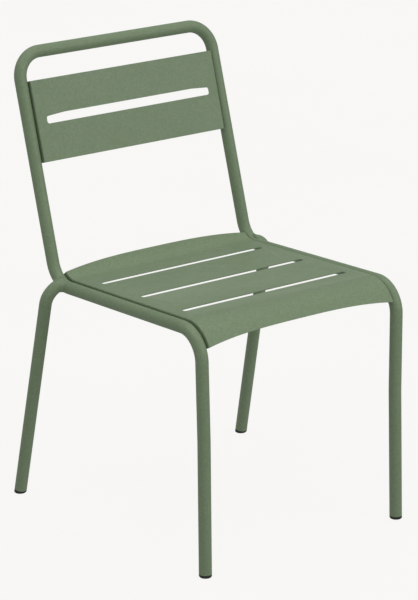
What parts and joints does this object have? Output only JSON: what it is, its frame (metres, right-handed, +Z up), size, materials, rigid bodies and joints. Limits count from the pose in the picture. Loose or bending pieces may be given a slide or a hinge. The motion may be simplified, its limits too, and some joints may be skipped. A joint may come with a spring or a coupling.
{
  "type": "stacking chair",
  "caption": "Armless stacking chair of bent round steel tube with a slotted sheet seat and a slotted sheet back, rear legs welded outside the frame",
  "frame": {"origin": "on the floor under the middle of the chair's bounding box", "axes": "+Z up, -Y the way the sitter faces, +X across the seat to the right in the front view"},
  "size_m": [0.5254, 0.5693, 0.8025],
  "materials": {
    "powder_coat": "satin fine-texture powder coat, grey green",
    "glide_plastic": "black moulded plastic"
  },
  "bodies": {
    "root": {"main_frame": "powder_coat", "seat_panel": "powder_coat", "back_panel": "powder_coat", "rear_leg_left": "powder_coat", "rear_leg_right": "powder_coat", "leg_weld_left": "powder_coat", "leg_weld_right": "powder_coat", "seat_weld_left_1": "powder_coat", "seat_weld_left_2": "powder_coat", "seat_weld_left_3": "powder_coat", "seat_weld_right_1": "powder_coat", "seat_weld_right_2": "powder_coat", "seat_weld_right_3": "powder_coat", "back_weld_left_1": "powder_coat", "back_weld_left_2": "powder_coat", "back_weld_right_1": "powder_coat", "back_weld_right_2": "powder_coat", "glide_front_left": "glide_plastic", "glide_front_right": "glide_plastic", "glide_rear_left": "glide_plastic", "glide_rear_right": "glide_plastic"}
  },
  "joints": []
}
